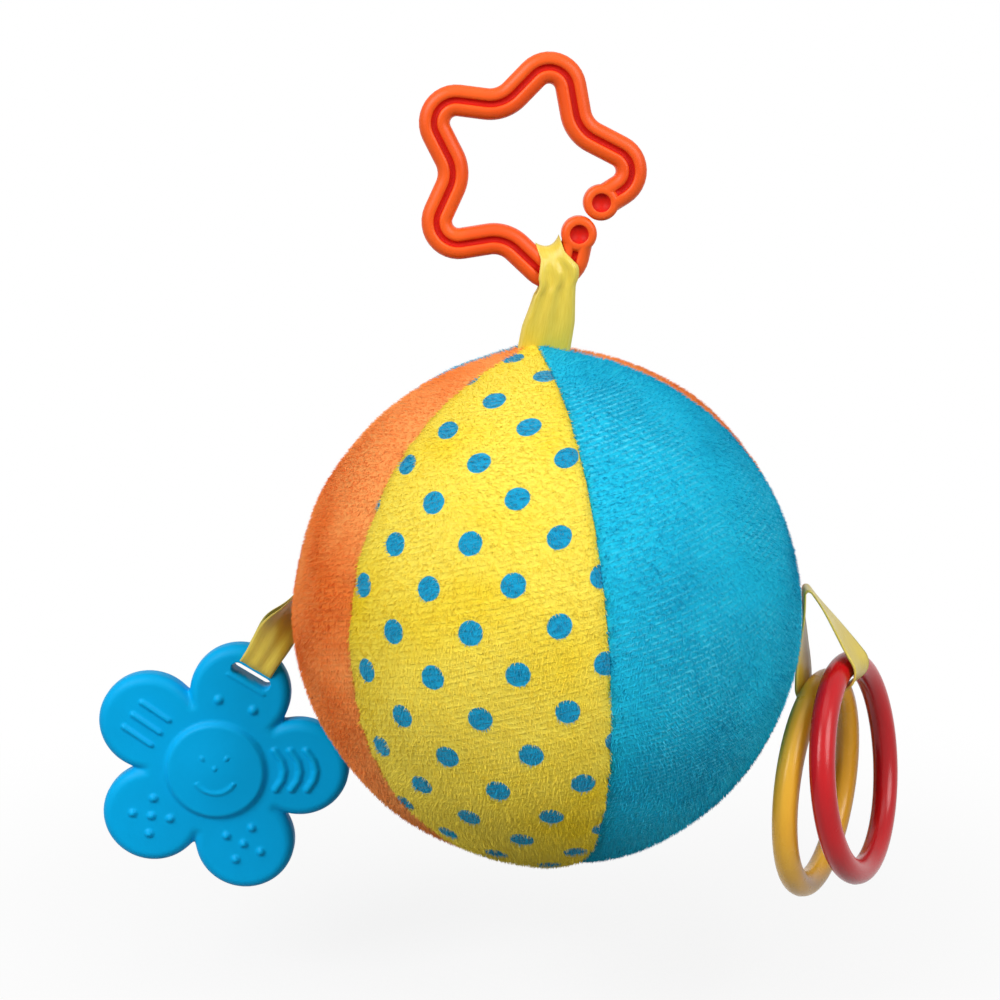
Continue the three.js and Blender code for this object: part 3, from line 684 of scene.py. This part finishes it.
FLOWER_BAR, FLOWER_THICK = 0.0051, 0.007
slot_across = Vector(JOINTS["flower_swing"]["axis"])
flower_way = (joint_place("flower_swing") - joint_place("left_ribbon_flap")).normalized()
hang_ribbon("left_ribbon", ribbon(
    "satin_left_ribbon", joint_place("left_ribbon_flap"), joint_place("flower_swing"),
    Vector(JOINTS["left_ribbon_flap"]["axis"]), slot_across, flower_way,
    lambda x: [(0, 0, FLOWER_THICK / 2 + 0.0004, FLOWER_BAR / 2 + 0.0004)],
    widths=(0.0086, 0.0086), sewn_in=0.004, wave=0.0012, pleat=0.0002),
    joint_place("left_ribbon_flap"), flower_way)

RING_TUBE = 0.003
ring_tops = [joint_place("red_ring_swing"), joint_place("yellow_ring_swing")]
ring_hold = (ring_tops[0] + ring_tops[1]) / 2
ring_along = -Vector(JOINTS["red_ring_swing"]["axis"])
ring_way = (ring_hold - joint_place("right_ribbon_flap")).normalized()
ring_side = ring_way.cross(ring_along).normalized()


def two_rings(x):
    sag = 0.0006 * x * x + 0.0004
    radius = RING_TUBE + sag
    return [((top - ring_hold).dot(ring_side), (top - ring_hold).dot(ring_way), radius, radius)
            for top in ring_tops]


hang_ribbon("right_ribbon", ribbon(
    "satin_right_ribbon", joint_place("right_ribbon_flap"), ring_hold,
    Vector(JOINTS["right_ribbon_flap"]["axis"]), ring_along, ring_way, two_rings,
    widths=(0.0108, 0.0108), sewn_in=0.004, wave=0.0003, pleat=0.0),
    joint_place("right_ribbon_flap"), ring_way)

# Star link: one orange plastic bar moulded as a five-pointed star with a groove along both faces.
# Its two round ends meet at a valley and spring apart, so that the toy hooks on to a bar or strap.

STAR_POINTS, STAR_TURN = 5, 17
TIP_CORNER, VALLEY_CORNER, TIP_ROUND, VALLEY_ROUND = 0.029, 0.0151, 0.0049, 0.0076
BAR_HALF, BAR_DEEP, BAR_ROUND = 0.00345, 0.0032, 0.0021
END_RADIUS, END_REACH, MOUTH_GAP = 0.004, 0.0185, 0.0005


def clock_point(turn, radius):
    """Point of the XZ plane at a clock angle from straight up."""
    return Vector((radius * math.sin(math.radians(turn)), 0, radius * math.cos(math.radians(turn))))


def round_corner(before, corner, after, radius, steps=12):
    """Arc that replaces a corner of a route in the XZ plane."""
    back, ahead = (before - corner).normalized(), (after - corner).normalized()
    half = back.angle(ahead) / 2
    centre = corner + (back + ahead).normalized() * (radius / math.sin(half))
    start = corner + back * (radius / math.tan(half)) - centre
    end = corner + ahead * (radius / math.tan(half)) - centre
    return [centre + start.slerp(end, k / steps).normalized() * radius for k in range(steps + 1)]


def star_route():
    """Middle line of the bar from one round end to the other, and the places of both ends."""
    pitch = 360 / STAR_POINTS
    mouth = STAR_TURN + 1.5 * pitch
    half = math.degrees(math.asin((END_RADIUS + MOUTH_GAP / 2) / END_REACH))
    ends = [clock_point(mouth - half, END_REACH), clock_point(mouth + half, END_REACH)]
    corners, roundings = [ends[0]], [0]
    for k in range(2 * STAR_POINTS - 1):
        out = VALLEY_CORNER if k % 2 else TIP_CORNER
        corners.append(clock_point(mouth - pitch / 2 * (k + 1), out))
        roundings.append(VALLEY_ROUND if k % 2 else TIP_ROUND)
    corners.append(ends[1])
    route = [corners[0]]
    for k in range(1, len(corners) - 1):
        route += round_corner(corners[k - 1], corners[k], corners[k + 1], roundings[k])
    route.append(corners[-1])
    inside_end = 0.00215
    for stop, near in ((0, 1), (-1, -2)):
        route[stop] = route[stop] + (route[near] - route[stop]).normalized() * inside_end
    return route, ends


def rounded_edge(half_width, half_depth, radius, steps):
    """Quarter circle from the face to the side of a section."""
    turns = [math.radians(90 / steps * k) for k in range(steps + 1)]
    return [(half_width - radius + radius * math.sin(t), half_depth - radius + radius * math.cos(t))
            for t in turns]


def bar_section():
    """Points round the bar, as (width, depth)."""
    quarter = rounded_edge(BAR_HALF, BAR_DEEP, BAR_ROUND, 12)
    groove = [(0.0, 0.0022), (0.0005, 0.00225), (0.00068, 0.00285), (0.00095, 0.00312)]
    side = groove + quarter
    right = side + [(x, -y) for x, y in reversed(side)]
    return right + [(-x, y) for x, y in reversed(right[1:-1])]


def star_bar(route):
    """The bar along its route, with the groove's faces in a darker red, painted as the shade inside
    the groove.
    """
    section, groove_half = bar_section(), 0.0008
    points, shaded_faces = [], []
    for k, spot in enumerate(route):
        tangent = (route[min(k + 1, len(route) - 1)] - route[max(k - 1, 0)]).normalized()
        across = Vector((tangent.z, 0, -tangent.x))
        points += [STAR_MIDDLE + spot + across * x + Vector((0, -y, 0)) for x, y in section]
    count = len(section)
    # Faces inside the groove take the red of painted shade.
    for (x, _), (next_x, _) in zip(section, section[1:] + section[:1]):
        shaded_faces.append(int(max(abs(x), abs(next_x)) < groove_half))
    shaded_faces *= len(route) - 1
    faces = bands(len(route), count) + lids(len(route), count)
    bar = add_mesh("star_bar", points, faces, star_orange)
    bar.data.materials.append(groove_shade_plastic)
    bar.data.polygons.foreach_set("material_index", shaded_faces + [0, 0])
    face_outwards(bar)
    return bar


def star_end(spot):
    """Round end, thicker than the bar's edge, with a recess in both faces, painted dark red as
    shade.
    """
    recess, sunk, bevel, around = 0.0021, 0.001, 0.0002, 48
    face = [(recess - bevel, BAR_DEEP - sunk), (recess, BAR_DEEP - bevel / 2),
            (recess + bevel, BAR_DEEP)]
    face += rounded_edge(END_RADIUS, BAR_DEEP, 0.0012, 6)
    profile = face + [(r, -h) for r, h in reversed(face)]
    points = []
    for radius, high in profile:
        for j in range(around):
            turn = 2 * math.pi * j / around
            around_spot = Vector((radius * math.sin(turn), -high, radius * math.cos(turn)))
            points.append(STAR_MIDDLE + spot + around_spot)
    rows = len(profile)
    # The recess floors in both faces take the red of painted shade.
    shaded_faces = [int(i in (0, rows - 2)) for i in range(rows - 1) for _ in range(around)]
    end = add_mesh("star_end", points, bands(rows, around) + lids(rows, around), star_orange)
    end.data.materials.append(groove_shade_plastic)
    end.data.polygons.foreach_set("material_index", shaded_faces + [1, 1])
    face_outwards(end)
    return end


def cut_or_join(piece, tool, operation):
    """Boolean of two closed meshes, kept as the first one's plain mesh."""
    modifier = piece.modifiers.new(operation.lower(), "BOOLEAN")
    modifier.operation, modifier.object, modifier.solver = operation, tool, "EXACT"
    modifier.material_mode = "INDEX"
    result = settled(piece)
    piece.modifiers.remove(modifier)
    piece.data = result
    bpy.data.objects.remove(tool)


star_orange = moulded("star_plastic", paint(244, 94, 22), paint(238, 78, 14), 0.4, gloss=0.3)
# Painted shade: the groove and the end recesses get a darker red that stands for the shade inside
# them.
groove_shade_plastic = moulded("star_groove_painted_shade", paint(216, 28, 12), paint(200, 20, 10), 0.5, gloss=0.15)
route, ends = star_route()
star = star_bar(route)
for spot in ends:
    cut_or_join(star, star_end(spot), "UNION")
star.name = star.data.name = "star_link_bar"
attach(star, "star")
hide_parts("star_link")

# Flower teether: one piece of soft blue plastic, a five-petalled flower with rounded edges, a
# raised round centre with a small smile, and chewing ridges and bumps on the petals, the same on
# both faces. The left ribbon passes through a slot in one petal.

PETALS, PETAL_TURN, PETAL_CIRCLE, PETAL_RADIUS = 5, 18, 0.0202, 0.0123
SLOT_TURN, SLOT_HALF, SLOT_STRAIGHT, SLOT_OUT = 32, 0.00159, 0.0038, 0.00561
EDGE_ROUND, HUB_RADIUS, HUB_RISE = 0.0026, 0.0126, 0.0013
slot_petal = clock_point(PETAL_TURN, PETAL_CIRCLE)
bar_middle = slot_petal + clock_point(SLOT_TURN, PETAL_RADIUS - FLOWER_BAR / 2)
FLOWER = joint_place("flower_swing") - bar_middle


def smooth(value, low, high):
    share = min(max((value - low) / (high - low), 0), 1)
    return share * share * (3 - 2 * share)


def raised(distance, half_width, high):
    """Rounded ridge over a line or a spot at that distance."""
    return high * (1 - smooth(distance, 0.2 * half_width, half_width))


def to_line(x, z, start, end):
    """Distance of a place from a straight line between two others."""
    a, b, p = Vector(start), Vector(end), Vector((x, z))
    share = min(max((p - a).dot(b - a) / (b - a).length_squared, 0), 1)
    return (p - a.lerp(b, share)).length


def petal_spot(k, out, across):
    """Place on a petal, from its middle outwards and across, in metres from the flower's centre."""
    turn = PETAL_TURN + 72 * k
    spot = clock_point(turn, PETAL_CIRCLE + out) + clock_point(turn + 90, across)
    return spot.x, spot.z


def relief_marks():
    """Lines and bumps as (kind, points, half width, height)."""
    mm = 0.001
    marks = []
    for across in (-3.9, 0, 3.9):
        bar = petal_spot(4, 4.2 * mm, across * mm), petal_spot(4, -3.6 * mm, across * mm)
        marks.append(("line", bar, 0.9 * mm, 0.75 * mm))
        arc = [petal_spot(1, (0.5 + across - 0.09 * a * a) * mm, a * mm)
               for a in (-5, -2.5, 0, 2.5, 5)]
        marks += [("line", pair, 1.2 * mm, 0.75 * mm) for pair in zip(arc, arc[1:])]
    for k in (2, 3):
        for out, across in ((0, 0), (3.3, 3.3), (3.3, -3.3), (-3.3, 3.3), (-3.3, -3.3)):
            marks.append(("bump", petal_spot(k, out * mm, across * mm), 1.35 * mm, 0.9 * mm))
    for across in (-4.4, 4.4):
        marks.append(("bump", petal_spot(0, -2.6 * mm, across * mm), 1.5 * mm, 0.8 * mm))
    lip = slot_petal + clock_point(SLOT_TURN, SLOT_OUT - SLOT_HALF - 0.7 * mm)
    reach = clock_point(SLOT_TURN + 90, SLOT_STRAIGHT + 1.2 * mm)
    line = (lip.x - reach.x, lip.z - reach.z), (lip.x + reach.x, lip.z + reach.z)
    marks.append(("line", line, 0.6 * mm, 0.35 * mm))
    smile = [(5.2 * mm * math.sin(t), -0.6 * mm - 4.9 * mm * math.cos(t))
             for t in (math.radians(a) for a in range(-60, 61, 15))]
    marks += [("line", pair, 0.75 * mm, 0.4 * mm) for pair in zip(smile, smile[1:])]
    for x, z in ((-3.0, 3.6), (3.0, 3.6), (0, 1.0)):
        marks.append(("bump", (x * mm, z * mm), 0.85 * mm, 0.4 * mm))
    return marks


def petal_depth(x, z):
    """How far inside the flower's outline a place is, with the valleys between petals filleted."""
    depths = [PETAL_CIRCLE - 0.002 - math.hypot(x, z)]
    for k in range(PETALS):
        petal = clock_point(PETAL_TURN + 72 * k, PETAL_CIRCLE)
        depths.append(PETAL_RADIUS - math.hypot(x - petal.x, z - petal.z))
    fillet = 0.0005
    sharp = 1 / fillet
    most = max(depths)
    return most + math.log(sum(math.exp((d - most) * sharp) for d in depths)) / sharp


def outline_radius(turn):
    """Distance of the flower's outline from its centre at a clock angle, by halving."""
    low, high = 0.01, 0.04
    for _ in range(26):
        middle = (low + high) / 2
        spot = clock_point(turn, middle)
        low, high = (middle, high) if petal_depth(spot.x, spot.z) > 0 else (low, middle)
    return low


def flower_mesh(material):
    """Both faces as grids from the centre out to the outline, joined at the rim."""
    around, rings, hub_dome = 420, 88, 0.0007
    marks = relief_marks()
    half = FLOWER_THICK / 2
    points, faces = [], []
    reach = [outline_radius(360 * j / around) for j in range(around)]
    heights = []
    for i in range(1, rings + 1):
        share = 1 - (1 - i / rings) ** 1.35
        for j in range(around):
            spot = clock_point(360 * j / around, reach[j] * share)
            x, z = spot.x, spot.z
            inside = max(petal_depth(x, z), 0) if i < rings else 0
            edge = max(EDGE_ROUND - inside, 0)
            high = half - EDGE_ROUND + math.sqrt(EDGE_ROUND ** 2 - min(edge, EDGE_ROUND) ** 2)
            from_middle = math.hypot(x, z)
            hub = 1 - smooth(from_middle, HUB_RADIUS - 0.0013, HUB_RADIUS + 0.0004)
            high += HUB_RISE * hub + hub_dome * (1 - smooth(from_middle, 0, HUB_RADIUS))
            lift = 0
            for kind, place, width, rise in marks:
                away = to_line(x, z, *place) if kind == "line" else math.dist((x, z), place)
                lift = max(lift, raised(away, width, rise)) if away < width else lift
            points.append((x, z))
            heights.append(high + lift)
    top = half + HUB_RISE + hub_dome
    spots = []
    for way in (-1, 1):
        spots += [FLOWER + Vector((x, way * h, z)) for (x, z), h in zip(points, heights)]
        spots.append(FLOWER + Vector((0, way * top, 0)))
    count = rings * around + 1
    for face in (0, 1):
        base = face * count
        for j in range(around):
            n = (j + 1) % around
            faces.append((base + count - 1, base + j, base + n))
            for i in range(rings - 1):
                a, b = base + i * around, base + (i + 1) * around
                faces.append((a + j, a + n, b + n, b + j))
    rim = (rings - 1) * around
    for j in range(around):
        n = (j + 1) % around
        faces.append((rim + j, rim + n, count + rim + n, count + rim + j))
    piece = add_mesh("flower_teether_body", spots, faces, material)
    face_outwards(piece)
    return piece


def slot_tool(material):
    """Round-ended block that cuts the slot."""
    across, away = clock_point(SLOT_TURN + 90, 1), clock_point(SLOT_TURN, 1)
    middle = FLOWER + slot_petal + away * SLOT_OUT
    ring = []
    for end in (1, -1):
        for k in range(13):
            turn = math.pi * (k / 12 - 0.5)
            along = across * (SLOT_STRAIGHT + SLOT_HALF * math.cos(turn))
            ring.append(end * (along + away * SLOT_HALF * math.sin(turn)))
    count = len(ring)
    points = [middle + p + Vector((0, way * FLOWER_THICK, 0)) for way in (-1, 1) for p in ring]
    faces = [(j, (j + 1) % count, count + (j + 1) % count, count + j) for j in range(count)]
    faces += [tuple(range(count)), tuple(range(count, 2 * count))]
    tool = add_mesh("slot_tool", points, faces, material)
    face_outwards(tool)
    return tool


flower_blue = moulded("flower_plastic", paint(0, 178, 242), paint(0, 172, 234), 0.46, gloss=0.1)
flower = flower_mesh(flower_blue)
cut_or_join(flower, slot_tool(flower_blue), "DIFFERENCE")
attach(flower, "flower_teether")
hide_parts("flower_teether")

# Teething rings: a red and a yellow ring of glossy plastic, moulded in one piece with a faint line
# where the mould's halves met. Both hang free in the right ribbon.

RING_RADIUS = 0.024


def teething_ring(node, material):
    """Tube round a circle, hung where the CAD ring hangs."""
    around, tube, mould_line, waver = 160, 40, 0.00006, 0.00005
    low, high = (Vector(corner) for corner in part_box(node))
    centre = (low + high) / 2
    hang = (joint_place(node + "_swing") - centre).normalized()
    along = Vector(JOINTS[node + "_swing"]["axis"])
    face = hang.cross(along).normalized()
    points = []
    for i in range(around):
        turn = 2 * math.pi * i / around
        out = hang * math.cos(turn) + along * math.sin(turn)
        for j in range(tube):
            side = 2 * math.pi * j / tube
            line = mould_line * math.exp(-(math.sin(side) / 0.09) ** 2)
            skin = RING_TUBE - 0.00008 + line + waver * math.sin(3 * turn)
            across = out * (RING_RADIUS + skin * math.cos(side))
            points.append(centre + across + face * skin * math.sin(side))
    ring = add_mesh("moulded_" + node, points, bands(around, tube, closed=True), material)
    face_outwards(ring)
    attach(ring, node)
    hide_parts(node)
    return ring


ring_red = moulded("ring_red", paint(206, 20, 28), paint(190, 12, 22), 0.24, gloss=0.35)
ring_yellow = moulded("ring_yellow", paint(250, 192, 62), paint(244, 178, 46), 0.28, gloss=0.35)
teething_ring("red_ring", ring_red)
teething_ring("yellow_ring", ring_yellow)

# Studio: a plain pale floor under the hanging toy, a white backdrop and soft light from the front
# and above, as in a shop photograph. None of it belongs to the toy.

FLOOR_Z = cad_box[0][2] - 0.03


def looked_at(bench):
    """1 for rays from the camera, straight or by way of gloss or glass, and 0 for all others."""
    camera_ray, glossy, through = [bench.node("ShaderNodeLightPath", output=f"Is {kind} Ray")
                                   for kind in ("Camera", "Glossy", "Transmission")]
    return (camera_ray + glossy + through).op("MINIMUM", 1.0)


floor_look = Finish("studio_floor")
seen = looked_at(floor_look)
floor_look.finish({
    "Base Color": floor_look.mix((0.16, 0.16, 0.16, 1), (0.8, 0.8, 0.8, 1), seen),
    "Roughness": 0.9,
    "Normal": floor_look.bump(floor_look.spots(300, 2), 0.0001),
})
white = floor_look.node("ShaderNodeEmission", {}, {"Color": (1, 1, 1, 1), "Strength": 1.0})
FLOOR_SHADOW = 0.2
from_foot = floor_look.node("ShaderNodeVectorMath", {"operation": "LENGTH"},
                            {0: floor_look.place}, output="Value")
near = 1 - floor_look.step(from_foot, 0.16, 0.36)
plain = Wire(floor_look, floor_look.shader.outputs[0])
shown = floor_look.node("ShaderNodeMixShader", {}, {
    0: (1 - FLOOR_SHADOW * near) * seen, 1: plain, 2: white})
surface = floor_look.tree.nodes["Material Output"].inputs["Surface"]
floor_look.tree.links.new(shown.socket, surface)
corners = [(6 * x, 6 * y, FLOOR_Z) for x, y in ((-1, -1), (1, -1), (1, 1), (-1, 1))]
add_mesh("studio_floor", corners, [(0, 1, 2, 3)], floor_look.material)

world = bpy.data.worlds.new("studio")
world.use_nodes = True
bpy.context.scene.world = world
sky = Bench(world.node_tree)
AMBIENT = 0.1
background = world.node_tree.nodes["Background"]
background.inputs["Color"].default_value = (1, 1, 1, 1)
level = AMBIENT + (1 - AMBIENT) * looked_at(sky)
sky.tree.links.new(level.socket, background.inputs["Strength"])


def soft_light(name, place, size, power):
    lamp = bpy.data.lights.new(name, "AREA")
    lamp.shape, lamp.size, lamp.energy = "DISK", size, power
    light = bpy.data.objects.new(name, lamp)
    light.location = BALL + Vector(place)
    light.rotation_euler = (-Vector(place)).to_track_quat("-Z", "Y").to_euler()
    bpy.context.scene.collection.objects.link(light)


soft_light("left_light", (-0.66, -0.66, 0.64), 0.7, 9.6)
soft_light("right_light", (0.68, -0.66, 0.6), 0.7, 8)
soft_light("top_light", (0, -0.3, 1.05), 0.7, 1.5)

# Camera: at the photograph's height, a little above the ball, looking at the toy's front from
# near by. The long lens and the distance give the ball the size and place that it has there.

bpy.context.scene.view_settings.view_transform = "Standard"
camera = bpy.data.objects.new("camera", bpy.data.cameras.new("camera"))
camera.data.lens, camera.data.sensor_width = 65, 36
ELEVATION, DISTANCE = math.radians(12), 0.42
aim = BALL + Vector((-0.0113, 0, 0.0256))
way = Vector((0, -math.cos(ELEVATION), math.sin(ELEVATION)))
camera.location = aim + way * DISTANCE
camera.rotation_euler = (-way).to_track_quat("-Z", "Y").to_euler()
camera.data.clip_start = 0.01
bpy.context.scene.collection.objects.link(camera)
bpy.context.scene.camera = camera
